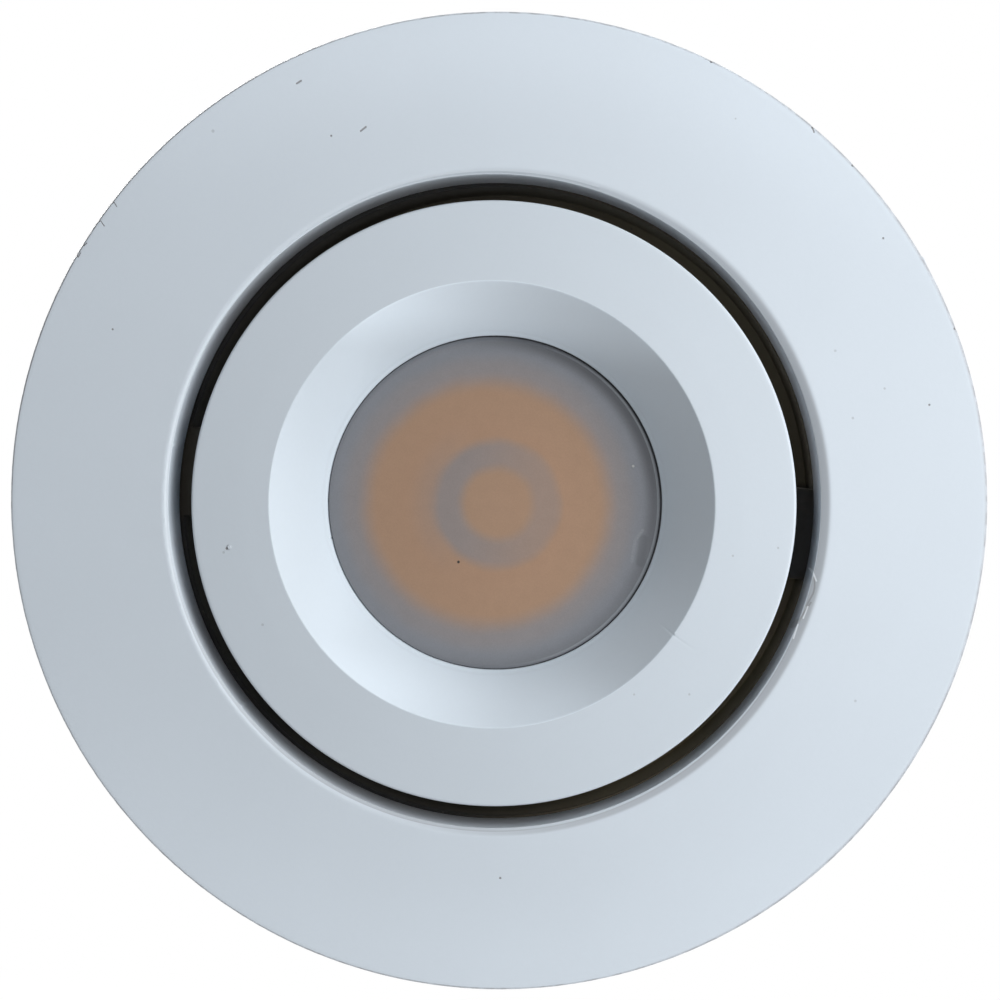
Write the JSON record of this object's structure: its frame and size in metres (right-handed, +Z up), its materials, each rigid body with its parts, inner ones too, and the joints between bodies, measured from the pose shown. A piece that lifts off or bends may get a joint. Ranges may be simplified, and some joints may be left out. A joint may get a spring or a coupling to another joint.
{
  "type": "puck light",
  "caption": "Recessed adjustable puck light: white trim ring, lamp head that tilts and swivels, frosted lens, finned heat sink and spring clips.",
  "frame": {"origin": "on the lamp axis, in the plane of the ceiling that the foam gasket seats against", "axes": "-Y is the way the light shines, out of the ceiling or wall; +Y runs along the neck into the cut-out; +X along the tilt axis; +Z up in the picture"},
  "size_m": [0.09, 0.0514, 0.09],
  "materials": {
    "white_paint": "satin white powder coat over die-cast aluminium",
    "foam": "closed-cell foam",
    "dark_nylon": "moulded nylon",
    "black_steel": "black powder coat over pressed steel",
    "spring_steel": "bright spring steel",
    "zinc_steel": "zinc-plated steel",
    "black_screw": "blackened steel",
    "fibre_washer": "dark fibre",
    "rubber": "black silicone rubber",
    "clear_rubber": "clear grey silicone",
    "frosted_lens": "frosted acrylic with a fine grain",
    "pale_plastic": "moulded plastic",
    "phosphor": "phosphor in silicone",
    "board_alloy": "white-faced aluminium board",
    "thermal_pad": "soft filled silicone",
    "black_alloy": "black anodised cast aluminium"
  },
  "bodies": {
    "trim": {"trim_ring": "white_paint", "seal_gasket": "foam", "glide_ring": "dark_nylon", "snap_ring": "spring_steel", "stop_pin": "zinc_steel", "bracket_right": "zinc_steel", "bracket_left": "zinc_steel", "bracket_rivets": "zinc_steel", "hinge_pin_right": "zinc_steel", "hinge_pin_left": "zinc_steel", "clip_spring_right": "spring_steel", "clip_spring_left": "spring_steel"},
    "swivel": {"swivel_ring": "black_steel"},
    "head": {"head_bezel": "white_paint", "pivot_screws": "black_screw", "friction_washers": "fibre_washer", "lens_gasket": "clear_rubber", "tir_lens": "frosted_lens", "lens_holder": "pale_plastic", "led_phosphor": "phosphor", "led_dam": "pale_plastic", "led_board": "board_alloy", "led_holder": "pale_plastic", "led_screws": "zinc_steel", "thermal_pad": "thermal_pad", "heat_sink": "black_alloy", "bezel_screws": "zinc_steel", "cable_grommet": "rubber"},
    "clip_right": {"clip_arm_right": "spring_steel", "clip_tip_right": "clear_rubber"},
    "clip_left": {"clip_arm_left": "spring_steel", "clip_tip_left": "clear_rubber"}
  },
  "joints": [
    {"name": "swivel_turn", "type": "hinge", "parent": "trim", "child": "swivel", "pos_m": [0, 0.005, 0], "axis": [0, -1, 0], "range_deg": [-174, 174]},
    {"name": "head_tilt", "type": "hinge", "parent": "swivel", "child": "head", "pos_m": [0, 0.005, 0], "axis": [1, 0, 0], "range_deg": [-25, 25]},
    {"name": "clip_right_lift", "type": "hinge", "parent": "trim", "child": "clip_right", "pos_m": [0.03521, 0.0163, 0], "axis": [0, 0, 1], "range_deg": [0, 165], "stiffness_Nm_per_rad": 0.02, "springref_deg": -45.84, "deforming": ["clip_spring_right"]},
    {"name": "clip_left_lift", "type": "hinge", "parent": "trim", "child": "clip_left", "pos_m": [-0.03521, 0.0163, 0], "axis": [0, 0, -1], "range_deg": [0, 165], "stiffness_Nm_per_rad": 0.02, "springref_deg": -45.84, "deforming": ["clip_spring_left"]}
  ]
}
